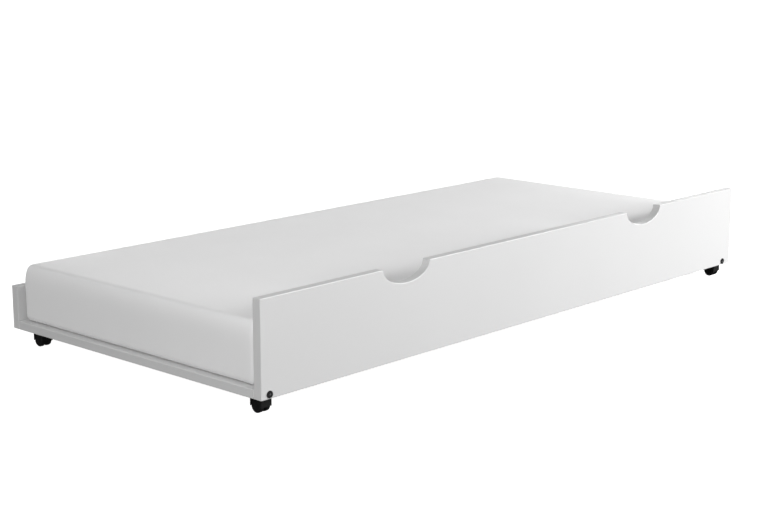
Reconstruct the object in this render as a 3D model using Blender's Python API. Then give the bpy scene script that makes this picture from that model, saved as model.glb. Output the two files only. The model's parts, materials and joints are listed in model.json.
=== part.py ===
"""Trundle bed: a low frame on twin-wheel casters, with a slatted base and a loose mattress.

Metres, +Z up. The origin lies on the floor under the middle of the bed. +X runs along the
bed's length, and the tall front panel faces -Y. Left is -X, right is +X.
"""

import math

import bmesh
import bpy
from mathutils import Vector

# Frame
LENGTH = 2.030
WIDTH = 0.974
BOARD_THICKNESS = 0.025
FRONT_HEIGHT = 0.240
BACK_HEIGHT = 0.118
END_RAIL_WIDTH = 0.066
END_RAIL_THICKNESS = 0.023
FRAME_BOTTOM = 0.044
EDGE_RADIUS = 0.0015
GAP = 0.0003

# Hand grips cut into the front panel's top edge, each half an ellipse
GRIP_WIDTH = 0.172
GRIP_DEPTH = 0.045
GRIP_FROM_END = 0.495
GRIP_STEPS = 20

# Slatted base
SLAT_COUNT = 13
SLAT_WIDTH = 0.070
SLAT_THICKNESS = 0.012
SLAT_END_GAP = 0.001
CLEAT_DEPTH = 0.022
CLEAT_END_GAP = 0.001

# Mattress
MATTRESS_LENGTH = 2.000
MATTRESS_WIDTH = 0.900
MATTRESS_HEIGHT = 0.152
MATTRESS_CORNER_RADIUS = 0.020
MATTRESS_TOP_RADIUS = 0.026
MATTRESS_BOTTOM_RADIUS = 0.018
MATTRESS_CORNER_STEPS = 5
MATTRESS_EDGE_STEPS = 4

# Corner joints: a connector bolt into a cross dowel, and a wooden dowel beside it.
# Both end rails are the same board, so the bolt lies nearer to the rail's left edge.
BOLT_FROM_RAIL_LEFT = 0.026
DOWEL_FROM_RAIL_LEFT = 0.050
BOLT_RADIUS = 0.003
BOLT_HEAD_RADIUS = 0.009
BOLT_HEAD_THICKNESS = 0.0022
BOLT_TIP_PAST_NUT = 0.008
SOCKET_RADIUS = 0.0023
SOCKET_DEPTH = 0.004
BOLT_HOLE_RADIUS = 0.0035
NUT_FROM_RAIL_END = 0.062
NUT_RADIUS = 0.005
NUT_LENGTH = 0.014
NUT_BORE_RADIUS = 0.0034
DOWEL_RADIUS = 0.004
DOWEL_LENGTH = 0.035
DOWEL_IN_BOARD = 0.012
HOLE_CLEARANCE = 0.0004

# Casters, each on its own kingpin, with the wheels trailing behind it
KINGPIN_FROM_RAIL_LEFT = 0.042
KINGPIN_FROM_SIDE = 0.060
CASTER_TRAIL = 0.0125
PLATE_SIZE = 0.038
PLATE_THICKNESS = 0.0025
PLATE_CORNER_RADIUS = 0.005
PLATE_CORNER_STEPS = 3
PLATE_SCREW_SPACING = 0.027
PLATE_SCREW_HOLE_RADIUS = 0.0021
KINGPIN_RADIUS = 0.0035
KINGPIN_HOLE_RADIUS = 0.0038
KINGPIN_DEPTH = 0.0075
WHEEL_RADIUS = 0.017
WHEEL_WIDTH = 0.0112
WHEEL_TREAD_RADIUS = 0.003
WHEEL_BORE_DEPTH = 0.0085
WHEEL_DISH_RADIUS = 0.0122
WHEEL_DISH_DEPTH = 0.0012
WHEEL_HUB_RADIUS = 0.0052
WHEEL_TREAD_STEPS = 3
AXLE_RADIUS = 0.0025
AXLE_HOLE_RADIUS = 0.0028
AXLE_HALF_LENGTH = 0.0126
HOOD_HALF_DEPTH = 0.0192
HOOD_INNER_RADIUS = 0.0177
HOOD_WIDTH = 0.033
HOOD_SKIRT_ANGLE = math.radians(5)
HOOD_ARC_STEPS = 18
CROWN_BELOW_PLATE = 0.0025
CROWN_CORNER_RADIUS = 0.0065
CROWN_CORNER_STEPS = 6
WEB_WIDTH = 0.008
WEB_TO_WHEEL = 0.0006
AXLE_LUG_RADIUS = 0.0075
AXLE_LUG_ANGLE = math.radians(15)
AXLE_LUG_STEPS = 9
NECK_WIDTH = 0.015
NECK_CORNER_RADIUS = 0.004
NECK_CORNER_STEPS = 3
NECK_ABOVE_AXLE = 0.004
NECK_START_ANGLE = math.radians(4)
NECK_ARC_STEPS = 6

ROUND_SEGMENTS = 24
SMALL_SEGMENTS = 16
SCREW_HOLE_SEGMENTS = 10
SOCKET_SIDES = 6
BOARD_EDGE_STEPS = 2
SHARP_ANGLE = math.radians(35)

ENDS = (("left", -1), ("right", 1))
SIDES = (("front", -1), ("back", 1))


# ---------------------------------------------------------------- materials

def make_material(name, colour, roughness, metallic=0.0):
    material = bpy.data.materials.new(name)
    material.use_nodes = True
    shader = material.node_tree.nodes["Principled BSDF"]
    shader.inputs["Base Color"].default_value = (*colour, 1.0)
    shader.inputs["Roughness"].default_value = roughness
    shader.inputs["Metallic"].default_value = metallic
    material.diffuse_color = (*colour, 1.0)
    return material


# ---------------------------------------------------------------- mesh tools

def mesh_from_bmesh(name, shape):
    """Turn a bmesh into a mesh whose faces point out, smooth on its round parts."""
    bmesh.ops.recalc_face_normals(shape, faces=shape.faces)
    mesh = bpy.data.meshes.new(name)
    shape.to_mesh(mesh)
    shape.free()
    mesh.shade_smooth()
    mesh.set_sharp_from_angle(angle=SHARP_ANGLE)
    return mesh


def bevel_sharp_edges(shape, radius, segments):
    sharp = [edge for edge in shape.edges if edge.calc_face_angle(0.0) > SHARP_ANGLE]
    bmesh.ops.bevel(shape, geom=sharp, offset=radius, segments=segments, profile=0.5, affect="EDGES")


def box_mesh(name, size, edge_radius, segments=1):
    shape = bmesh.new()
    bmesh.ops.create_cube(shape, size=1.0)
    bmesh.ops.scale(shape, vec=size, verts=shape.verts)
    bevel_sharp_edges(shape, edge_radius, segments)
    return mesh_from_bmesh(name, shape)


def extruded_bmesh(outline, start, vector):
    """Close a flat outline of points into a face and extrude it along a vector."""
    shape = bmesh.new()
    face = shape.faces.new([shape.verts.new(Vector(point) + Vector(start)) for point in outline])
    extruded = bmesh.ops.extrude_face_region(shape, geom=[face])
    moved = [item for item in extruded["geom"] if isinstance(item, bmesh.types.BMVert)]
    bmesh.ops.translate(shape, vec=vector, verts=moved)
    bmesh.ops.recalc_face_normals(shape, faces=shape.faces)
    return shape


def turned_mesh(name, profile, segments):
    """Spin (radius, height) points about Z. The profile starts and ends on the axis."""
    shape = bmesh.new()
    points = [shape.verts.new((radius, 0.0, height)) for radius, height in profile]
    edges = [shape.edges.new(pair) for pair in zip(points, points[1:])]
    bmesh.ops.spin(shape, geom=points + edges, cent=(0, 0, 0), axis=(0, 0, 1),
                   angle=math.tau, steps=segments, use_merge=True)
    bmesh.ops.remove_doubles(shape, verts=shape.verts, dist=1e-6)
    return mesh_from_bmesh(name, shape)


def arc_points(centre, radius, start, end, steps):
    """Points on a circle in a plane, from one angle to another, both ends included."""
    angles = [start + (end - start) * step / steps for step in range(steps + 1)]
    return [(centre[0] + radius * math.cos(a), centre[1] + radius * math.sin(a)) for a in angles]


def rounded_rectangle(half_x, half_y, radius, steps):
    """Corner arcs of a rectangle, anticlockwise from the +X side."""
    points = []
    for quarter, (sign_x, sign_y) in enumerate(((1, 1), (-1, 1), (-1, -1), (1, -1))):
        centre = (sign_x * (half_x - radius), sign_y * (half_y - radius))
        start = quarter * math.pi / 2
        points += arc_points(centre, radius, start, start + math.pi / 2, steps)
    return points


def lofted_mesh(name, rings):
    """Skin rings of 3-D points, all with the same count, and cap both ends."""
    shape = bmesh.new()
    rows = [[shape.verts.new(point) for point in ring] for ring in rings]
    for lower, upper in zip(rows, rows[1:]):
        for i in range(len(lower)):
            j = (i + 1) % len(lower)
            shape.faces.new((lower[i], lower[j], upper[j], upper[i]))
    shape.faces.new(rows[0])
    shape.faces.new(rows[-1])
    return mesh_from_bmesh(name, shape)


# ---------------------------------------------------------------- objects

def add_object(name, mesh, material=None, location=(0, 0, 0), rotation=(0, 0, 0), parent=None):
    item = bpy.data.objects.new(name, mesh)
    item.location = location
    item.rotation_euler = rotation
    item.parent = parent
    if material:
        if not mesh.materials:
            mesh.materials.append(material)
        item.material_slots[0].link = "OBJECT"
        item.material_slots[0].material = material
    bpy.context.scene.collection.objects.link(item)
    return item


def combine(target, tool, operation="DIFFERENCE"):
    """Cut or join with a tool that stays in the file as a hidden guide."""
    tool.hide_render = True
    tool.display_type = "WIRE"
    modifier = target.modifiers.new(operation.lower(), "BOOLEAN")
    modifier.operation = operation
    modifier.solver = "EXACT"
    modifier.object = tool


def drill(target, start, end, radius, segments=SMALL_SEGMENTS):
    """Bore a round hole between two points."""
    start, end = Vector(start), Vector(end)
    shape = bmesh.new()
    bmesh.ops.create_cone(shape, cap_ends=True, segments=segments, radius1=radius, radius2=radius,
                          depth=(end - start).length)
    mesh = mesh_from_bmesh("drill", shape)
    turn = (end - start).to_track_quat("Z", "Y").to_euler()
    combine(target, add_object("drill", mesh, location=(start + end) / 2, rotation=turn))


def frozen_mesh(name, model):
    """Make one mesh of a model and its Booleans, and clear the model and its tools away."""
    tools = [modifier.object for modifier in model.modifiers]
    graph = bpy.context.evaluated_depsgraph_get()
    mesh = bpy.data.meshes.new_from_object(model.evaluated_get(graph))
    mesh.name = name
    mesh.shade_smooth()
    mesh.set_sharp_from_angle(angle=SHARP_ANGLE)
    for item in tools + [model]:
        bpy.data.objects.remove(item, do_unlink=True)
    return mesh


# ---------------------------------------------------------------- frame

def end_rail_left_edge(sign):
    """X of an end rail's left edge."""
    return -LENGTH / 2 if sign < 0 else LENGTH / 2 - END_RAIL_WIDTH


def joint_height():
    return FRAME_BOTTOM + END_RAIL_THICKNESS / 2


def front_panel_mesh():
    """Panel outline in X and Z, with a half-elliptic notch for each hand."""
    half = LENGTH / 2
    outline = [(-half, 0.0, 0.0), (half, 0.0, 0.0), (half, 0.0, FRONT_HEIGHT)]
    for _, sign in reversed(ENDS):
        centre = sign * (half - GRIP_FROM_END)
        for step in range(GRIP_STEPS + 1):
            angle = math.pi * step / GRIP_STEPS
            x = centre + GRIP_WIDTH / 2 * math.cos(angle)
            outline.append((x, 0.0, FRONT_HEIGHT - GRIP_DEPTH * math.sin(angle)))
    outline.append((-half, 0.0, FRONT_HEIGHT))
    shape = extruded_bmesh(outline, (0, -BOARD_THICKNESS / 2, 0), (0, BOARD_THICKNESS, 0))
    bevel_sharp_edges(shape, EDGE_RADIUS, BOARD_EDGE_STEPS)
    return mesh_from_bmesh("front_panel", shape)


def drill_long_board(board, side):
    """Bolt holes right through, and blind dowel holes from the inner face."""
    outer = side * (WIDTH / 2 + GAP)
    inner = side * (WIDTH / 2 - BOARD_THICKNESS - GAP)
    bottom = side * (WIDTH / 2 - BOARD_THICKNESS + DOWEL_IN_BOARD + HOLE_CLEARANCE)
    for _, sign in ENDS:
        bolt_x = end_rail_left_edge(sign) + BOLT_FROM_RAIL_LEFT
        dowel_x = end_rail_left_edge(sign) + DOWEL_FROM_RAIL_LEFT
        z = joint_height()
        drill(board, (bolt_x, outer, z), (bolt_x, inner, z), BOLT_HOLE_RADIUS)
        drill(board, (dowel_x, bottom, z), (dowel_x, inner, z), DOWEL_RADIUS + HOLE_CLEARANCE)


def drill_end_rail(rail, sign):
    """Bolt and dowel holes in both ends, and nut holes up from the underside."""
    z = joint_height()
    bolt_x = end_rail_left_edge(sign) + BOLT_FROM_RAIL_LEFT
    dowel_x = end_rail_left_edge(sign) + DOWEL_FROM_RAIL_LEFT
    rail_end = WIDTH / 2 - BOARD_THICKNESS
    bolt_depth = NUT_FROM_RAIL_END + BOLT_TIP_PAST_NUT + HOLE_CLEARANCE
    dowel_depth = DOWEL_LENGTH - DOWEL_IN_BOARD + HOLE_CLEARANCE
    for _, side in SIDES:
        outside = side * (rail_end + GAP)
        drill(rail, (bolt_x, outside, z), (bolt_x, side * (rail_end - bolt_depth), z), BOLT_HOLE_RADIUS)
        drill(rail, (dowel_x, outside, z), (dowel_x, side * (rail_end - dowel_depth), z),
              DOWEL_RADIUS + HOLE_CLEARANCE)
        nut_y = side * (rail_end - NUT_FROM_RAIL_END)
        nut_top = z + NUT_LENGTH / 2 + HOLE_CLEARANCE
        drill(rail, (bolt_x, nut_y, FRAME_BOTTOM - GAP), (bolt_x, nut_y, nut_top),
              NUT_RADIUS + HOLE_CLEARANCE)


def build_frame(white_paint):
    front_y = -(WIDTH - BOARD_THICKNESS) / 2
    front = add_object("front_panel", front_panel_mesh(), white_paint, (0, front_y, FRAME_BOTTOM))
    drill_long_board(front, -1)

    back_size = (LENGTH, BOARD_THICKNESS, BACK_HEIGHT)
    back_mesh = box_mesh("back_rail", back_size, EDGE_RADIUS, BOARD_EDGE_STEPS)
    back_z = FRAME_BOTTOM + BACK_HEIGHT / 2
    back = add_object("back_rail", back_mesh, white_paint, (0, -front_y, back_z))
    drill_long_board(back, 1)

    rail_length = WIDTH - 2 * (BOARD_THICKNESS + GAP)
    rail_size = (END_RAIL_WIDTH, rail_length, END_RAIL_THICKNESS)
    rail_mesh = box_mesh("end_rail", rail_size, EDGE_RADIUS)
    for end, sign in ENDS:
        rail_x = end_rail_left_edge(sign) + END_RAIL_WIDTH / 2
        rail = add_object(f"end_rail_{end}", rail_mesh, white_paint, (rail_x, 0, joint_height()))
        drill_end_rail(rail, sign)

    cleat_length = LENGTH - 2 * (END_RAIL_WIDTH + CLEAT_END_GAP)
    cleat_height = END_RAIL_THICKNESS - SLAT_THICKNESS - GAP
    cleat_mesh = box_mesh("slat_cleat", (cleat_length, CLEAT_DEPTH, cleat_height), EDGE_RADIUS)
    for side_name, side in SIDES:
        y = side * (WIDTH / 2 - BOARD_THICKNESS - GAP - CLEAT_DEPTH / 2)
        z = FRAME_BOTTOM + cleat_height / 2
        add_object(f"slat_cleat_{side_name}", cleat_mesh, white_paint, (0, y, z))


def build_slats(pine):
    """Slats spread evenly between the end rails, with their tops level with the rails."""
    slat_length = WIDTH - 2 * (BOARD_THICKNESS + SLAT_END_GAP)
    slat_mesh = box_mesh("slat", (SLAT_WIDTH, slat_length, SLAT_THICKNESS), EDGE_RADIUS)
    free_length = LENGTH - 2 * END_RAIL_WIDTH
    space = (free_length - SLAT_COUNT * SLAT_WIDTH) / (SLAT_COUNT + 1)
    z = FRAME_BOTTOM + END_RAIL_THICKNESS - SLAT_THICKNESS / 2
    for number in range(SLAT_COUNT):
        x = -free_length / 2 + space + SLAT_WIDTH / 2 + number * (space + SLAT_WIDTH)
        add_object(f"slat_{number + 1:02d}", slat_mesh, pine, (x, 0, z))


def mattress_mesh():
    """A box with round upright corners, softer at its top edge than at its bottom edge."""
    profile = arc_points((MATTRESS_BOTTOM_RADIUS, MATTRESS_BOTTOM_RADIUS), MATTRESS_BOTTOM_RADIUS,
                         1.5 * math.pi, math.pi, MATTRESS_EDGE_STEPS - 1)
    profile += arc_points((MATTRESS_TOP_RADIUS, MATTRESS_HEIGHT - MATTRESS_TOP_RADIUS),
                          MATTRESS_TOP_RADIUS, math.pi, 0.5 * math.pi, MATTRESS_EDGE_STEPS)
    rings = []
    for inset, height in profile:
        corner_radius = MATTRESS_CORNER_RADIUS * (1 - inset / (2 * MATTRESS_TOP_RADIUS))
        outline = rounded_rectangle(MATTRESS_LENGTH / 2 - inset, MATTRESS_WIDTH / 2 - inset,
                                    corner_radius, MATTRESS_CORNER_STEPS)
        rings.append([(x, y, height) for x, y in outline])
    return lofted_mesh("mattress", rings)


# ---------------------------------------------------------------- fasteners

def connector_bolt_mesh():
    """A flat-headed bolt along Z, with its head up and its seat at z = 0."""
    tip = BOARD_THICKNESS + NUT_FROM_RAIL_END + BOLT_TIP_PAST_NUT
    chamfer = BOLT_RADIUS / 4
    top = GAP + BOLT_HEAD_THICKNESS
    rim = BOLT_HEAD_THICKNESS / 3
    profile = [(0, -tip), (BOLT_RADIUS - chamfer, -tip), (BOLT_RADIUS, chamfer - tip),
               (BOLT_RADIUS, GAP), (BOLT_HEAD_RADIUS, GAP), (BOLT_HEAD_RADIUS, top - rim),
               (BOLT_HEAD_RADIUS - rim, top), (0, top)]
    model = add_object("bolt_model", turned_mesh("bolt_model", profile, ROUND_SEGMENTS))
    drill(model, (0, 0, top - SOCKET_DEPTH), (0, 0, top + GAP), SOCKET_RADIUS, SOCKET_SIDES)
    return frozen_mesh("connector_bolt", model)


def barrel_nut_mesh():
    """A short upright cylinder with the bolt's bore across it."""
    chamfer = NUT_RADIUS / 8
    half = NUT_LENGTH / 2
    profile = [(0, -half), (NUT_RADIUS - chamfer, -half), (NUT_RADIUS, chamfer - half),
               (NUT_RADIUS, half - chamfer), (NUT_RADIUS - chamfer, half), (0, half)]
    model = add_object("nut_model", turned_mesh("nut_model", profile, ROUND_SEGMENTS))
    drill(model, (0, -NUT_LENGTH, 0), (0, NUT_LENGTH, 0), NUT_BORE_RADIUS)
    return frozen_mesh("barrel_nut", model)


def dowel_mesh():
    half = DOWEL_LENGTH / 2
    chamfer = DOWEL_RADIUS / 4
    profile = [(0, -half), (DOWEL_RADIUS - chamfer, -half), (DOWEL_RADIUS, chamfer - half),
               (DOWEL_RADIUS, half - chamfer), (DOWEL_RADIUS - chamfer, half), (0, half)]
    return turned_mesh("dowel", profile, SMALL_SEGMENTS)


def build_corner_joints(black_steel, zinc, beech):
    bolt_mesh = connector_bolt_mesh()
    nut_mesh = barrel_nut_mesh()
    peg_mesh = dowel_mesh()
    z = joint_height()
    rail_end = WIDTH / 2 - BOARD_THICKNESS
    for side_name, side in SIDES:
        for end, sign in ENDS:
            corner = f"{side_name}_{end}"
            outward = (-side * math.pi / 2, 0, 0)
            bolt_x = end_rail_left_edge(sign) + BOLT_FROM_RAIL_LEFT
            dowel_x = end_rail_left_edge(sign) + DOWEL_FROM_RAIL_LEFT
            nut_y = side * (rail_end - NUT_FROM_RAIL_END)
            dowel_y = side * (rail_end + DOWEL_IN_BOARD - DOWEL_LENGTH / 2)
            bolt_at = (bolt_x, side * WIDTH / 2, z)
            add_object(f"connector_bolt_{corner}", bolt_mesh, black_steel, bolt_at, outward)
            add_object(f"barrel_nut_{corner}", nut_mesh, zinc, (bolt_x, nut_y, z))
            add_object(f"dowel_{corner}", peg_mesh, beech, (dowel_x, dowel_y, z), outward)


# ---------------------------------------------------------------- casters

def plate_bottom():
    return FRAME_BOTTOM - GAP - PLATE_THICKNESS


def hood_top():
    return plate_bottom() - GAP


def caster_plate_mesh():
    """A square plate with round corners, a hole for the kingpin and four for screws."""
    outline = rounded_rectangle(PLATE_SIZE / 2, PLATE_SIZE / 2, PLATE_CORNER_RADIUS, PLATE_CORNER_STEPS)
    rings = [[(x, y, height) for x, y in outline] for height in (0.0, PLATE_THICKNESS)]
    model = add_object("plate_model", lofted_mesh("plate_model", rings))
    below, above = -GAP, PLATE_THICKNESS + GAP
    drill(model, (0, 0, below), (0, 0, above), KINGPIN_HOLE_RADIUS)
    for x in (-PLATE_SCREW_SPACING / 2, PLATE_SCREW_SPACING / 2):
        for y in (-PLATE_SCREW_SPACING / 2, PLATE_SCREW_SPACING / 2):
            drill(model, (x, y, below), (x, y, above), PLATE_SCREW_HOLE_RADIUS, SCREW_HOLE_SEGMENTS)
    return frozen_mesh("caster_plate", model)


def kingpin_mesh():
    """A pin that hangs from the plate's top face into the hood."""
    top = FRAME_BOTTOM - GAP
    bottom = hood_top() - KINGPIN_DEPTH
    chamfer = KINGPIN_RADIUS / 6
    profile = [(0, bottom), (KINGPIN_RADIUS - chamfer, bottom), (KINGPIN_RADIUS, bottom + chamfer),
               (KINGPIN_RADIUS, top), (0, top)]
    return turned_mesh("caster_kingpin", profile, SMALL_SEGMENTS)


def in_side_plane(points, x):
    """Turn (y, z) points into 3-D points at one X."""
    return [(x, y, z) for y, z in points]


def caster_hood_mesh():
    """Square-shouldered arch over both wheels, a web between them, and a neck for the kingpin."""
    axle = (-CASTER_TRAIL, WHEEL_RADIUS)
    start, end = -HOOD_SKIRT_ANGLE, math.pi + HOOD_SKIRT_ANGLE
    middle_radius = (HOOD_HALF_DEPTH + HOOD_INNER_RADIUS) / 2

    skirt_bottom = WHEEL_RADIUS - HOOD_INNER_RADIUS * math.sin(HOOD_SKIRT_ANGLE)
    shoulder = HOOD_HALF_DEPTH - CROWN_CORNER_RADIUS
    shoulder_height = plate_bottom() - CROWN_BELOW_PLATE - CROWN_CORNER_RADIUS
    outer = [(axle[0] + HOOD_HALF_DEPTH, skirt_bottom)]
    for side, turned in ((1, 0), (-1, math.pi / 2)):
        corner = (axle[0] + side * shoulder, shoulder_height)
        outer += arc_points(corner, CROWN_CORNER_RADIUS, turned, turned + math.pi / 2, CROWN_CORNER_STEPS)
    outer.append((axle[0] - HOOD_HALF_DEPTH, skirt_bottom))
    inner = arc_points(axle, HOOD_INNER_RADIUS, end, start, HOOD_ARC_STEPS)
    arch = extruded_bmesh(in_side_plane(outer + inner, -HOOD_WIDTH / 2), (0, 0, 0), (HOOD_WIDTH, 0, 0))
    model = add_object("hood_model", mesh_from_bmesh("hood_model", arch))

    lug_start = math.pi + AXLE_LUG_ANGLE
    lug_end = 2 * math.pi - AXLE_LUG_ANGLE
    web_outline = arc_points(axle, middle_radius, start, end, HOOD_ARC_STEPS - 1)
    web_outline += arc_points(axle, AXLE_LUG_RADIUS, lug_start, lug_end, AXLE_LUG_STEPS)
    web = extruded_bmesh(in_side_plane(web_outline, -WEB_WIDTH / 2), (0, 0, 0), (WEB_WIDTH, 0, 0))
    combine(model, add_object("web_tool", mesh_from_bmesh("web_tool", web)), "UNION")

    front_y = -NECK_WIDTH / 2
    back_y = NECK_WIDTH / 2 + GAP
    steepest = math.acos((front_y - axle[0]) / middle_radius)
    neck_outline = arc_points(axle, middle_radius, NECK_START_ANGLE, steepest, NECK_ARC_STEPS)
    neck_outline += [(front_y, hood_top()), (back_y, hood_top()), (back_y, WHEEL_RADIUS + NECK_ABOVE_AXLE)]
    neck = extruded_bmesh(in_side_plane(neck_outline, -NECK_WIDTH / 2), (0, 0, 0), (NECK_WIDTH, 0, 0))
    uprights = [edge for edge in neck.edges if is_upright_at(edge, back_y)]
    bmesh.ops.bevel(neck, geom=uprights, offset=NECK_CORNER_RADIUS, segments=NECK_CORNER_STEPS,
                    profile=0.5, affect="EDGES")
    combine(model, add_object("neck_tool", mesh_from_bmesh("neck_tool", neck)), "UNION")

    bore_bottom = hood_top() - KINGPIN_DEPTH - HOLE_CLEARANCE
    drill(model, (0, 0, bore_bottom), (0, 0, hood_top() + GAP), KINGPIN_HOLE_RADIUS)
    drill(model, (-WEB_WIDTH, *axle), (WEB_WIDTH, *axle), AXLE_HOLE_RADIUS)
    return frozen_mesh("caster_hood", model)


def is_upright_at(edge, y):
    lower, upper = edge.verts
    same_place = abs(lower.co.x - upper.co.x) < GAP and abs(lower.co.y - upper.co.y) < GAP
    return same_place and abs(lower.co.y - y) < GAP


def axle_mesh():
    profile = [(0, -AXLE_HALF_LENGTH), (AXLE_RADIUS, -AXLE_HALF_LENGTH),
               (AXLE_RADIUS, AXLE_HALF_LENGTH), (0, AXLE_HALF_LENGTH)]
    return turned_mesh("caster_axle", profile, SMALL_SEGMENTS)


def wheel_mesh():
    """A wheel about Z: its inner face at z = 0, a blind bore, and a dished outer face."""
    tread = WHEEL_TREAD_RADIUS
    dish = WHEEL_WIDTH - WHEEL_DISH_DEPTH
    hub = WHEEL_WIDTH - WHEEL_DISH_DEPTH / 3
    profile = [(0, WHEEL_BORE_DEPTH), (AXLE_HOLE_RADIUS, WHEEL_BORE_DEPTH), (AXLE_HOLE_RADIUS, 0),
               (WHEEL_RADIUS - tread / 3, 0), (WHEEL_RADIUS, tread / 3)]
    tread_centre = (WHEEL_RADIUS - tread, WHEEL_WIDTH - tread)
    profile += arc_points(tread_centre, tread, 0, math.pi / 2, WHEEL_TREAD_STEPS)
    profile += [(WHEEL_DISH_RADIUS, WHEEL_WIDTH), (WHEEL_DISH_RADIUS - WHEEL_DISH_DEPTH, dish),
                (WHEEL_HUB_RADIUS, dish), (WHEEL_HUB_RADIUS, hub), (0, hub)]
    return turned_mesh("caster_wheel", profile, ROUND_SEGMENTS)


def build_casters(black_steel, zinc, black_plastic):
    plate_mesh = caster_plate_mesh()
    pin_mesh = kingpin_mesh()
    hood_mesh = caster_hood_mesh()
    shaft_mesh = axle_mesh()
    disc_mesh = wheel_mesh()
    axle_at = (0, -CASTER_TRAIL, WHEEL_RADIUS)
    for side_name, side in SIDES:
        for end, sign in ENDS:
            name = f"caster_{side_name}_{end}"
            swivel = bpy.data.objects.new(f"{name}_swivel", None)
            swivel.location.x = end_rail_left_edge(sign) + KINGPIN_FROM_RAIL_LEFT
            swivel.location.y = side * (WIDTH / 2 - KINGPIN_FROM_SIDE)
            bpy.context.scene.collection.objects.link(swivel)
            plate_at = (0, 0, plate_bottom())
            add_object(f"{name}_plate", plate_mesh, black_steel, plate_at, parent=swivel)
            add_object(f"{name}_kingpin", pin_mesh, zinc, parent=swivel)
            add_object(f"{name}_hood", hood_mesh, black_plastic, parent=swivel)
            add_object(f"{name}_axle", shaft_mesh, zinc, axle_at, (0, math.pi / 2, 0), swivel)
            for wheel_end, wheel_sign in ENDS:
                wheel_x = wheel_sign * (WEB_WIDTH / 2 + WEB_TO_WHEEL)
                wheel_at = (wheel_x, axle_at[1], axle_at[2])
                turn = (0, wheel_sign * math.pi / 2, 0)
                add_object(f"{name}_wheel_{wheel_end}", disc_mesh, black_plastic, wheel_at, turn, swivel)


# ---------------------------------------------------------------- the whole bed

def main():
    for item in list(bpy.data.objects):
        bpy.data.objects.remove(item, do_unlink=True)

    white_paint = make_material("white_paint", (0.86, 0.86, 0.86), 0.42)
    pine = make_material("pine", (0.72, 0.53, 0.33), 0.6)
    beech = make_material("beech", (0.70, 0.50, 0.32), 0.6)
    fabric = make_material("white_fabric", (0.84, 0.84, 0.84), 0.9)
    black_steel = make_material("black_steel", (0.02, 0.02, 0.02), 0.35, 0.6)
    zinc = make_material("zinc_steel", (0.55, 0.56, 0.58), 0.35, 1.0)
    black_plastic = make_material("black_plastic", (0.02, 0.02, 0.022), 0.4)

    build_frame(white_paint)
    build_slats(pine)
    mattress_at = (0, 0, FRAME_BOTTOM + END_RAIL_THICKNESS + GAP)
    add_object("mattress", mattress_mesh(), fabric, mattress_at)
    build_corner_joints(black_steel, zinc, beech)
    build_casters(black_steel, zinc, black_plastic)


main()
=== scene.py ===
"""The trundle bed in a pale studio: painted boards, bare slats, black casters, white mattress.

Metres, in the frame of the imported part: +X along the bed, the front panel facing -Y, +Z up.
"""

import json
import math
import random

import bmesh
import bpy
from mathutils import Matrix, Vector


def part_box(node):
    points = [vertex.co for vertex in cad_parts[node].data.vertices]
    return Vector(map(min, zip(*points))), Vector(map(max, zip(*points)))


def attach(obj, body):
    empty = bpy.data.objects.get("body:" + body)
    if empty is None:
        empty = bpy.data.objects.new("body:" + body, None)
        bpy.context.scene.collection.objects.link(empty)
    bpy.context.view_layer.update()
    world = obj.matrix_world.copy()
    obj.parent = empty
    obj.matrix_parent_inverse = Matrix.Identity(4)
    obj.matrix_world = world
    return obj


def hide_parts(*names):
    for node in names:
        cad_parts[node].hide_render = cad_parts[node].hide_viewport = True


# Camera, placed from the front panel's near lower corner
CAMERA_LENS = 75.5
CAMERA_YAW = math.radians(47.06)
CAMERA_TILT = math.radians(12.44)
CAMERA_OFFSET = Vector((-2.362, -2.566, 1.085))
SENSOR_WIDTH = 36.0

# Mattress cover: how far it starts outside the CAD block, and how far its rounded edges reach in
# from the sides, down from the top and up from the bottom
COVER_LOW = Vector((-0.0075, -0.0075, 0.0))
COVER_HIGH = Vector((0.0075, 0.0075, 0.003))
EDGE_ACROSS = 0.020
TOP_EDGE = 0.050
BOTTOM_EDGE = 0.018

# The width of the squares it is made of, and how many of them go round an edge
SQUARE = 0.015
EDGE_SQUARES = 4

# Its cloth, and how far the cloth may swell
CLOTH_FRAMES = 20
CLOTH_PRESSURE = 4.0
CLOTH_CAP = 0.005

# Screw heads as (radius, height) points up from the surface they sit on, with the width, length
# and depth of the cross recess. The flush head stands just proud of the slat, under the mattress.
# With 36 segments no edge of the head runs through a corner of the cross.
SCREW_SEGMENTS = 36
FLUSH_PROFILE = ((0.0, -0.0008), (0.0034, -0.0008), (0.0038, 0.00005), (0.0036, 0.00015),
                 (0.0, 0.0002))
FLUSH_RECESS = (0.0009, 0.0042, 0.0007)
PAN_PROFILE = ((0.0, -0.0005), (0.0036, -0.0005), (0.0036, 0.0004), (0.0033, 0.0009), (0.0026, 0.0013),
               (0.0014, 0.0015), (0.0, 0.00155))
PAN_RECESS = (0.0009, 0.0038, 0.0009)
PLATE_SCREW_OFFSET = 0.0135
CLEAT_SCREWS = 6

# Bare metal lining of the connector bolts' hex sockets
HEX_SIDES = 6
LINER_RADIUS = 0.00222
LINER_WALL = 0.00015
LINER_DEPTH = 0.0036
LINER_BELOW_HEAD = 0.0001

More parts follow.
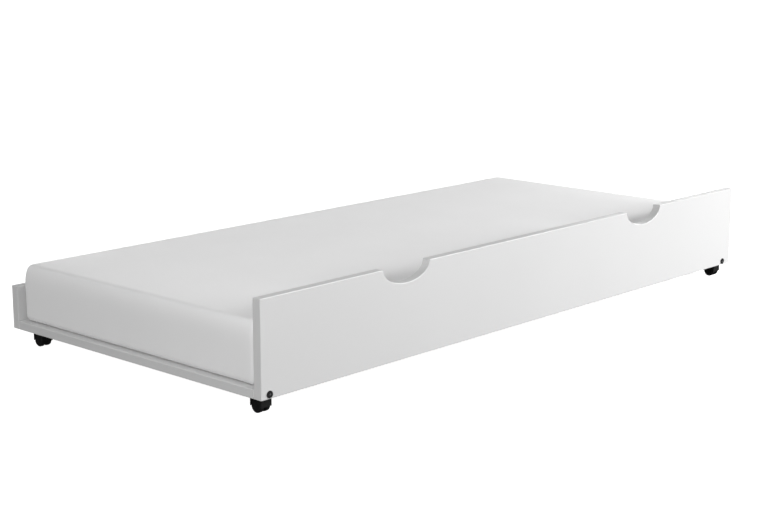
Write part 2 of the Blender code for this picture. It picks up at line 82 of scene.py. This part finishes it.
# Name, place, target, size and power of each soft box
LIGHTS = (
    ("key", (3.0, -4.0, 1.6), (0.5, -0.5, 0.15), (2.0, 2.0), 272.0),
    ("left", (-7.0, -3.0, 2.5), (0.0, -0.3, 0.2), (3.0, 3.0), 215.0),
    ("rear", (0.5, 6.0, 0.6), (0.0, 0.3, 0.15), (3.0, 0.8), 180.0),
    ("right_rear", (6.0, 2.5, 0.8), (0.0, 0.0, 0.15), (2.0, 1.0), 40.0),
    ("right_top", (1.6, -0.6, 1.8), (1.0, 0.0, 0.2), (1.0, 1.0), 4.1),
    ("near_fill", (-1.8, -1.0, 0.5), (-1.0, -0.4, 0.12), (0.5, 0.5), 0.7),
    ("near_top", (-1.8, -1.0, 2.2), (-1.0, -0.3, 0.2), (0.8, 0.8), 7.4),
)

# The studio's evenly spread light, and what its ceiling adds
ROOM_LIGHT = 0.15
CEILING_LIGHT = 0.154

FLOOR_HALF_WIDTH = 40.0
WALL_RADIUS = 38.0
WALL_HEIGHT = 40.0
WALL_SEGMENTS = 64

# Where most of a noise texture's values lie
NOISE_LOW = 0.3
NOISE_HIGH = 0.7

MERGE_DISTANCE = 1e-6
SEED = 7

CORNERS = [f"{side}_{end}" for side in ("front", "back") for end in ("left", "right")]


# ---------------------------------------------------------------- node helpers

def grey(level):
    return (level, level, level)


def new_material(name, colour, roughness, metallic=0.0):
    """A material and its Principled shader."""
    material = bpy.data.materials.new(name)
    material.use_nodes = True
    shader = material.node_tree.nodes["Principled BSDF"]
    shader.inputs["Base Color"].default_value = (*colour, 1.0)
    shader.inputs["Roughness"].default_value = roughness
    shader.inputs["Metallic"].default_value = metallic
    return material, shader


def add_node(material, kind, **values):
    """A node with its properties and inputs set by name, where spaces are underscores."""
    node = material.node_tree.nodes.new(kind)
    for name, value in values.items():
        if hasattr(node, name):
            setattr(node, name, value)
        else:
            node.inputs[name.replace("_", " ").title()].default_value = value
    return node


def link(material, source, target):
    material.node_tree.links.new(source, target)


def object_coordinates(material, scale=(1, 1, 1), rotation=(0, 0, 0)):
    """Coordinates in metres, fixed to the piece, turned by angles in degrees and stretched."""
    coordinates = add_node(material, "ShaderNodeTexCoord")
    angles = [math.radians(angle) for angle in rotation]
    mapping = add_node(material, "ShaderNodeMapping", scale=scale, rotation=angles)
    link(material, coordinates.outputs["Object"], mapping.inputs["Vector"])
    return mapping.outputs["Vector"]


def noise_value(material, vector, scale, detail=2.0, roughness=0.5):
    node = add_node(material, "ShaderNodeTexNoise", scale=scale, detail=detail, roughness=roughness)
    link(material, vector, node.inputs["Vector"])
    return node.outputs["Fac"]


def ranged(material, value, low, high):
    """Spread a noise over low to high."""
    node = add_node(material, "ShaderNodeMapRange",
                    from_min=NOISE_LOW, from_max=NOISE_HIGH, to_min=low, to_max=high)
    link(material, value, node.inputs["Value"])
    return node.outputs["Result"]


def calculated(material, operation, value, number=0.0):
    """One step of arithmetic on a value."""
    node = add_node(material, "ShaderNodeMath", operation=operation)
    link(material, value, node.inputs[0])
    node.inputs[1].default_value = number
    return node.outputs["Value"]


def blended(material, factor, first, second):
    """A mix of two colours."""
    node = material.node_tree.nodes.new("ShaderNodeMix")
    node.data_type = "RGBA"
    link(material, factor, node.inputs["Factor"])
    node.inputs["A"].default_value = (*first, 1.0)
    node.inputs["B"].default_value = (*second, 1.0)
    return node.outputs["Result"]


def bumped(material, shader, height, distance, strength, base=None):
    """Add a bump to the shader's normal, on top of an earlier one if given."""
    node = add_node(material, "ShaderNodeBump", strength=strength, distance=distance)
    link(material, height, node.inputs["Height"])
    if base:
        link(material, base, node.inputs["Normal"])
    link(material, node.outputs["Normal"], shader.inputs["Normal"])
    return node.outputs["Normal"]


# ---------------------------------------------------------------- materials

def painted_wood():
    """Sprayed satin white: faint orange peel, and the board's grain just showing through."""
    material, shader = new_material("painted_wood", grey(0.69), roughness=0.42)
    plain = object_coordinates(material)
    tone = ranged(material, noise_value(material, plain, scale=3.0), 0.0, 1.0)
    link(material, blended(material, tone, grey(0.683), grey(0.697)), shader.inputs["Base Color"])
    rough = ranged(material, noise_value(material, plain, scale=40.0, detail=4.0), 0.40, 0.44)
    link(material, rough, shader.inputs["Roughness"])
    along = object_coordinates(material, scale=(4.0, 90.0, 90.0))
    board_grain = noise_value(material, along, scale=1.0, detail=3.0)
    grain = bumped(material, shader, board_grain, distance=0.0002, strength=0.12)
    peel = noise_value(material, plain, scale=700.0)
    bumped(material, shader, peel, distance=0.0001, strength=0.15, base=grain)
    return material


def planed_wood(name, light, dark, stretch, ring_count):
    """Bare wood whose growth rings are the contour lines of a noise drawn out along the grain.

    Each ring darkens slowly, stays dark for a thin line and ends abruptly, as in a sawn board.
    """
    material, shader = new_material(name, light, roughness=0.55)
    along = object_coordinates(material, scale=stretch)
    height = noise_value(material, along, scale=1.0, detail=1.5, roughness=0.4)
    contours = calculated(material, "MULTIPLY", height, ring_count)
    ring = calculated(material, "POWER", calculated(material, "FRACT", contours), 2.5)
    link(material, blended(material, ring, light, dark), shader.inputs["Base Color"])
    rough = ranged(material, noise_value(material, along, scale=6.0), 0.5, 0.65)
    link(material, rough, shader.inputs["Roughness"])
    raised = bumped(material, shader, ring, distance=0.0002, strength=0.25)
    fibres = noise_value(material, along, scale=30.0, detail=4.0)
    bumped(material, shader, fibres, distance=0.0002, strength=0.2, base=raised)
    return material


def mattress_fabric():
    """White knitted cover: crossed ribs about a millimetre apart, and a soft sheen."""
    material, shader = new_material("mattress_fabric", grey(0.89), roughness=0.85)
    shader.inputs["Sheen Weight"].default_value = 0.15
    shader.inputs["Sheen Roughness"].default_value = 0.5
    plain = object_coordinates(material)
    tone = ranged(material, noise_value(material, plain, scale=5.0, detail=3.0), 0.0, 1.0)
    link(material, blended(material, tone, grey(0.882), grey(0.898)), shader.inputs["Base Color"])
    waviness = noise_value(material, plain, scale=9.0, detail=3.0)
    normal = bumped(material, shader, waviness, distance=0.004, strength=0.10)
    for rotation in ((45, 0, 45), (-45, 0, 45), (0, 45, -45)):
        turned = object_coordinates(material, rotation=rotation)
        ribs = add_node(material, "ShaderNodeTexWave",
                        bands_direction="X", scale=260.0, distortion=0.6, detail=1.0)
        link(material, turned, ribs.inputs["Vector"])
        normal = bumped(material, shader, ribs.outputs["Fac"], distance=0.0003, strength=0.12, base=normal)
    return material


def black_steel():
    """Black powder coat on pressed steel."""
    material, shader = new_material("black_steel", (0.008, 0.008, 0.0085), roughness=0.45)
    shader.inputs["Specular IOR Level"].default_value = 0.3
    plain = object_coordinates(material)
    rough = ranged(material, noise_value(material, plain, scale=300.0), 0.38, 0.52)
    link(material, rough, shader.inputs["Roughness"])
    powder = noise_value(material, plain, scale=1600.0)
    bumped(material, shader, powder, distance=0.00005, strength=0.3)
    return material


def zinc_steel():
    """Bright zinc plate with a cloudy shine."""
    material, shader = new_material("zinc_steel", (0.60, 0.61, 0.63), roughness=0.34, metallic=1.0)
    plain = object_coordinates(material)
    cloud = noise_value(material, plain, scale=220.0, detail=4.0)
    colour = blended(material, cloud, (0.55, 0.56, 0.59), (0.66, 0.66, 0.66))
    link(material, colour, shader.inputs["Base Color"])
    link(material, ranged(material, cloud, 0.26, 0.42), shader.inputs["Roughness"])
    plating = noise_value(material, plain, scale=900.0)
    bumped(material, shader, plating, distance=0.00004, strength=0.3)
    return material


def black_plastic():
    """Moulded nylon with a fine spark-eroded texture."""
    material, shader = new_material("black_plastic", (0.004, 0.004, 0.0042), roughness=0.6)
    shader.inputs["Specular IOR Level"].default_value = 0.2
    plain = object_coordinates(material)
    rough = ranged(material, noise_value(material, plain, scale=120.0, detail=3.0), 0.52, 0.66)
    link(material, rough, shader.inputs["Roughness"])
    texture = noise_value(material, plain, scale=2200.0, detail=1.0)
    bumped(material, shader, texture, distance=0.00005, strength=0.35)
    return material


def make_materials():
    """The material of each slot in the record."""
    return {
        "painted_wood": painted_wood(),
        "bare_pine": planed_wood("bare_pine", light=(0.76, 0.60, 0.41), dark=(0.60, 0.40, 0.22),
                                 stretch=(12.0, 0.8, 12.0), ring_count=36.0),
        "beech": planed_wood("beech", light=(0.70, 0.50, 0.32), dark=(0.60, 0.41, 0.25),
                             stretch=(90.0, 6.0, 90.0), ring_count=8.0),
        "mattress_cover": mattress_fabric(),
        "black_steel": black_steel(),
        "zinc_steel": zinc_steel(),
        "black_plastic": black_plastic(),
    }


def paint_nodes(frame, materials):
    """Give every CAD node the detailed material of its slot in the record."""
    for part in frame["record"]["subparts"]:
        node = frame["nodes"][part["node"]]
        node.data.materials.clear()
        node.data.materials.append(materials[part["material_slot"]])


# ---------------------------------------------------------------- mesh helpers

def finished_mesh(name, shape):
    """The mesh of a bmesh, which is freed."""
    mesh = bpy.data.meshes.new(name)
    shape.to_mesh(mesh)
    shape.free()
    return mesh


def mesh_object(name, shape):
    """An object with the mesh of a bmesh, which is freed."""
    made = bpy.data.objects.new(name, finished_mesh(name, shape))
    bpy.context.scene.collection.objects.link(made)
    return made


def modified_mesh(name, piece):
    """The mesh of a piece with its modifiers worked in. The piece itself goes."""
    graph = bpy.context.evaluated_depsgraph_get()
    mesh = bpy.data.meshes.new_from_object(piece.evaluated_get(graph))
    mesh.name = name
    bpy.data.objects.remove(piece, do_unlink=True)
    return mesh


def add_piece(name, mesh, material, body):
    """A piece of the bed that moves with a body and takes its finish from a slot."""
    piece = bpy.data.objects.new(name, mesh)
    bpy.context.scene.collection.objects.link(piece)
    mesh.materials.clear()
    mesh.materials.append(material)
    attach(piece, body)
    return piece


def facing(out):
    """The turn that takes +Z to a direction."""
    return Vector(out).to_track_quat("Z", "Y").to_matrix().to_4x4()


# ---------------------------------------------------------------- mattress

def grid_lines(low, high, low_edge, high_edge):
    """Coordinates from low to high, closer together along the rounded edges."""
    start, end = low + low_edge, high - high_edge
    count = round((end - start) / SQUARE)
    lines = [low + low_edge * step / EDGE_SQUARES for step in range(EDGE_SQUARES)]
    lines += [start + (end - start) * step / count for step in range(count)]
    lines += [high - high_edge * step / EDGE_SQUARES for step in range(EDGE_SQUARES, -1, -1)]
    return lines


def rounded(point, low, high):
    """Where a point on a sharp-edged block goes when the block's edges are rounded."""
    low_edges = (EDGE_ACROSS, EDGE_ACROSS, BOTTOM_EDGE)
    high_edges = (EDGE_ACROSS, EDGE_ACROSS, TOP_EDGE)
    centre = point.copy()
    radii = Vector((1.0, 1.0, 1.0))
    for axis in range(3):
        if point[axis] < low[axis] + low_edges[axis]:
            radii[axis] = low_edges[axis]
            centre[axis] = low[axis] + radii[axis]
        elif point[axis] > high[axis] - high_edges[axis]:
            radii[axis] = high_edges[axis]
            centre[axis] = high[axis] - radii[axis]
    away = Vector([(point[axis] - centre[axis]) / radii[axis] for axis in range(3)])
    away.normalize()
    return centre + away * radii


def slab_shape(low, high):
    """A block with rounded edges whose skin is squares all over, as cloth needs."""
    lines = [grid_lines(low[0], high[0], EDGE_ACROSS, EDGE_ACROSS),
             grid_lines(low[1], high[1], EDGE_ACROSS, EDGE_ACROSS),
             grid_lines(low[2], high[2], BOTTOM_EDGE, TOP_EDGE)]
    last = [len(axis_lines) - 1 for axis_lines in lines]
    shape = bmesh.new()
    corners = {}

    def corner(index):
        if index not in corners:
            point = Vector([lines[axis][index[axis]] for axis in range(3)])
            corners[index] = shape.verts.new(rounded(point, low, high))
        return corners[index]

    for axis in range(3):
        first, second = (axis + 1) % 3, (axis + 2) % 3
        for side in (0, last[axis]):
            for i in range(last[first]):
                for j in range(last[second]):
                    ring = []
                    for step_i, step_j in ((0, 0), (1, 0), (1, 1), (0, 1)):
                        index = [side, side, side]
                        index[first] = i + step_i
                        index[second] = j + step_j
                        ring.append(corner(tuple(index)))
                    shape.faces.new(ring if side else ring[::-1])
    return shape


def swell(skin):
    """Blow the skin up a little as cloth, and return where its points end."""
    cloth = skin.modifiers.new("cloth", "CLOTH")
    cloth.settings.quality = 5
    cloth.settings.mass = 0.3
    cloth.settings.tension_stiffness = 20
    cloth.settings.compression_stiffness = 20
    cloth.settings.bending_stiffness = 4
    cloth.settings.use_pressure = True
    cloth.settings.uniform_pressure_force = CLOTH_PRESSURE
    cloth.settings.effector_weights.gravity = 0
    cloth.point_cache.frame_start = 1
    cloth.point_cache.frame_end = CLOTH_FRAMES
    scene = bpy.context.scene
    for frame_number in range(1, CLOTH_FRAMES + 1):
        scene.frame_set(frame_number)
    graph = bpy.context.evaluated_depsgraph_get()
    swollen = [vertex.co.copy() for vertex in skin.evaluated_get(graph).data.vertices]
    skin.modifiers.remove(cloth)
    scene.frame_set(1)
    return swollen


def soft_capped(move, cap):
    """A move that eases off towards a cap, so that nothing ends in a flat plateau."""
    if not move.length:
        return move
    return move * (cap * math.tanh(move.length / cap) / move.length)


def build_mattress(material):
    """The soft cover that stands for the CAD block, flat where it rests on the slats."""
    low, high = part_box("mattress")
    skin = mesh_object("skin", slab_shape(low + COVER_LOW, high + COVER_HIGH))
    rest = [vertex.co.copy() for vertex in skin.data.vertices]
    swollen = swell(skin)
    for vertex, start, end in zip(skin.data.vertices, rest, swollen):
        place = start + soft_capped(end - start, CLOTH_CAP)
        place.z = max(place.z, low.z)
        vertex.co = place
    smooth = skin.modifiers.new("smooth", "SMOOTH")
    smooth.factor = 0.5
    smooth.iterations = 2
    subdivision = skin.modifiers.new("subdivision", "SUBSURF")
    subdivision.levels = 1
    subdivision.render_levels = 1
    mesh = modified_mesh("mattress_cover", skin)
    mesh.shade_smooth()
    cover = add_piece("mattress_cover", mesh, material, "mattress")
    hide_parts("mattress")


# ---------------------------------------------------------------- screws and socket linings

def cross_shape(top, width, length, depth):
    """A block with the outline of a cross, from a depth below the top to as far above it."""
    half, reach = width / 2, length / 2
    shape = bmesh.new()
    outline = []
    for quarter in range(4):
        turn = Matrix.Rotation(quarter * math.pi / 2, 3, "Z")
        for x, y in ((reach, -half), (reach, half), (half, half)):
            outline.append(shape.verts.new(turn @ Vector((x, y, top - depth))))
    lower = shape.faces.new(outline)
    raised = bmesh.ops.extrude_face_region(shape, geom=[lower])["geom"]
    upper = [item for item in raised if isinstance(item, bmesh.types.BMVert)]
    bmesh.ops.translate(shape, vec=(0, 0, 2 * depth), verts=upper)
    bmesh.ops.recalc_face_normals(shape, faces=shape.faces)
    return shape


def screw_mesh(name, profile, recess):
    """A screw head turned about Z from (radius, height) points, with a cross cut into its top."""
    shape = bmesh.new()
    points = [shape.verts.new((radius, 0.0, height)) for radius, height in profile]
    edges = [shape.edges.new(pair) for pair in zip(points, points[1:])]
    bmesh.ops.spin(shape, geom=points + edges, axis=(0, 0, 1), cent=(0, 0, 0),
                   steps=SCREW_SEGMENTS, angle=2 * math.pi)
    bmesh.ops.remove_doubles(shape, verts=shape.verts, dist=MERGE_DISTANCE)
    bmesh.ops.recalc_face_normals(shape, faces=shape.faces)
    top = profile[-1][1]
    head = mesh_object("head", shape)
    cutter = mesh_object("cutter", cross_shape(top, *recess))
    cut = head.modifiers.new("cut", "BOOLEAN")
    cut.object = cutter
    cut.solver = "EXACT"
    mesh = modified_mesh(name, head)
    bpy.data.objects.remove(cutter, do_unlink=True)
    return mesh


def add_screw(name, mesh, material, place, out):
    """A screw head on the surface at a place, with its top facing out, turned at random."""
    screw = add_piece(name, mesh, material, "frame")
    turn = Matrix.Rotation(random.uniform(0, math.pi), 4, "Z")
    screw.matrix_world = Matrix.Translation(place) @ facing(out) @ turn


def build_screws(frame, materials):
    """The heads of the screws in the slats, the cleats and the caster plates."""
    flush = screw_mesh("flush_head", FLUSH_PROFILE, FLUSH_RECESS)
    pan = screw_mesh("pan_head", PAN_PROFILE, PAN_RECESS)
    black_pan = pan.copy()
    black_pan.name = "black_pan_head"
    zinc, black = materials["zinc_steel"], materials["black_steel"]
    slats = sorted(name for name in frame["nodes"] if name.startswith("slat_") and name[5:].isdigit())
    for side, sign in (("front", -1), ("back", 1)):
        cleat_low, cleat_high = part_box(f"slat_cleat_{side}")
        inner_face = cleat_high.y if sign < 0 else cleat_low.y
        for slat in slats:
            low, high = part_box(slat)
            place = ((low.x + high.x) / 2, (cleat_low.y + cleat_high.y) / 2, high.z)
            add_screw(f"{slat}_screw_{side}", flush, zinc, place, (0, 0, 1))
        for number in range(CLEAT_SCREWS):
            x = cleat_low.x + (cleat_high.x - cleat_low.x) * (number + 0.5) / CLEAT_SCREWS
            place = (x, inner_face, (cleat_low.z + cleat_high.z) / 2)
            add_screw(f"cleat_{side}_screw_{number + 1}", pan, zinc, place, (0, -sign, 0))
    for corner in CORNERS:
        low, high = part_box(f"caster_{corner}_plate")
        middle = (low + high) / 2
        for number, (right, back) in enumerate(((-1, -1), (1, -1), (1, 1), (-1, 1))):
            place = (middle.x + right * PLATE_SCREW_OFFSET, middle.y + back * PLATE_SCREW_OFFSET, low.z)
            add_screw(f"caster_{corner}_screw_{number + 1}", black_pan, black,
                      place, (0, 0, -1))


def liner_mesh():
    """A thin hexagonal cup about Z, open at the top, with its rim at z = 0."""
    inside = LINER_RADIUS - LINER_WALL
    section = ((inside, LINER_WALL - LINER_DEPTH), (inside, 0.0), (LINER_RADIUS, 0.0),
               (LINER_RADIUS, -LINER_DEPTH))
    angles = [2 * math.pi * (side + 0.5) / HEX_SIDES for side in range(HEX_SIDES)]
    shape = bmesh.new()
    rings = []
    for radius, height in section:
        rings.append([shape.verts.new((radius * math.cos(angle), radius * math.sin(angle), height))
                      for angle in angles])
    for inner, outer in zip(rings, rings[1:]):
        for side in range(HEX_SIDES):
            following = (side + 1) % HEX_SIDES
            shape.faces.new((inner[side], inner[following], outer[following], outer[side]))
    shape.faces.new(rings[0])
    shape.faces.new(rings[-1][::-1])
    bmesh.ops.recalc_face_normals(shape, faces=shape.faces)
    return finished_mesh("socket_liner", shape)


def build_liners(material):
    """The bright hexagons inside the black bolt heads, on the outer faces of both long boards."""
    mesh = liner_mesh()
    for corner in CORNERS:
        low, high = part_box(f"connector_bolt_{corner}")
        out = -1 if corner.startswith("front") else 1
        face = low.y if out < 0 else high.y
        place = ((low.x + high.x) / 2, face - out * LINER_BELOW_HEAD, (low.z + high.z) / 2)
        liner = add_piece(f"socket_liner_{corner}", mesh, material, "frame")
        liner.matrix_world = Matrix.Translation(place) @ facing((0, out, 0))


# ---------------------------------------------------------------- studio

def add_camera():
    low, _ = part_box("front_panel")
    data = bpy.data.cameras.new("camera")
    data.lens = CAMERA_LENS
    data.sensor_width = SENSOR_WIDTH
    data.clip_start = 0.05
    data.clip_end = 200.0
    camera = bpy.data.objects.new("camera", data)
    camera.location = low + CAMERA_OFFSET
    camera.rotation_euler = (math.pi / 2 - CAMERA_TILT, 0.0, -CAMERA_YAW)
    bpy.context.scene.collection.objects.link(camera)
    bpy.context.scene.camera = camera


def add_area_light(name, place, target, size, power):
    data = bpy.data.lights.new(name, "AREA")
    data.shape = "RECTANGLE"
    data.size, data.size_y = size
    data.energy = power
    light = bpy.data.objects.new(name, data)
    light.location = place
    light.rotation_euler = (Vector(target) - Vector(place)).to_track_quat("-Z", "Y").to_euler()
    bpy.context.scene.collection.objects.link(light)


def add_stage(name, shape, material):
    """A part of the studio that the camera sees but that throws no light onto the bed."""
    made = mesh_object(name, shape)
    made.data.materials.append(material)
    made.visible_diffuse = False
    made.visible_glossy = False
    return made


def build_studio():
    """A wide pale floor that stays near white even where the bed shades it, and a wall far off."""
    material, shader = new_material("studio_white", grey(0.5), roughness=0.9)
    shader.inputs["Emission Color"].default_value = (1.0, 1.0, 1.0, 1.0)
    shader.inputs["Emission Strength"].default_value = 0.95
    shape = bmesh.new()
    bmesh.ops.create_grid(shape, x_segments=2, y_segments=2, size=FLOOR_HALF_WIDTH)
    add_stage("floor", shape, material)
    shape = bmesh.new()
    bmesh.ops.create_cone(shape, segments=WALL_SEGMENTS, radius1=WALL_RADIUS, radius2=WALL_RADIUS,
                          depth=WALL_HEIGHT, cap_ends=False)
    bmesh.ops.translate(shape, vec=(0, 0, WALL_HEIGHT / 2), verts=shape.verts)
    wall = add_stage("wall", shape, material)
    wall.visible_shadow = False


def set_world():
    """An even room with a brighter ceiling: its light is strongest from straight above."""
    world = bpy.data.worlds.new("studio")
    world.use_nodes = True
    nodes = world.node_tree.nodes
    links = world.node_tree.links
    direction = nodes.new("ShaderNodeTexCoord")
    height = nodes.new("ShaderNodeSeparateXYZ")
    strength = nodes.new("ShaderNodeMapRange")
    strength.inputs["To Min"].default_value = ROOM_LIGHT
    strength.inputs["To Max"].default_value = ROOM_LIGHT + CEILING_LIGHT
    links.new(direction.outputs["Generated"], height.inputs["Vector"])
    links.new(height.outputs["Z"], strength.inputs["Value"])
    background = nodes["Background"]
    background.inputs["Color"].default_value = (1.0, 1.0, 1.0, 1.0)
    links.new(strength.outputs["Result"], background.inputs["Strength"])
    bpy.context.scene.world = world


def light_studio():
    for name, place, target, size, power in LIGHTS:
        add_area_light(name, place, target, size, power)
    set_world()
    bpy.context.scene.view_settings.view_transform = "Standard"


# ---------------------------------------------------------------- the whole scene

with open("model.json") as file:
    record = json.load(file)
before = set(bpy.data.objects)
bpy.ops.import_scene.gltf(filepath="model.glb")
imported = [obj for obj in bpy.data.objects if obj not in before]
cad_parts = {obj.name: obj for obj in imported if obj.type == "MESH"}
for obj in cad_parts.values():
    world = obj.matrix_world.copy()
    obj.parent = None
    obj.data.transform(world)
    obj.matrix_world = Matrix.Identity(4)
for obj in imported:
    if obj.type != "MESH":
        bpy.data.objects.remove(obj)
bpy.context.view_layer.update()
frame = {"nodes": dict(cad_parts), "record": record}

materials = make_materials()
paint_nodes(frame, materials)
random.seed(SEED)
build_screws(frame, materials)
build_liners(materials["zinc_steel"])
build_mattress(materials["mattress_cover"])

build_studio()
light_studio()
add_camera()
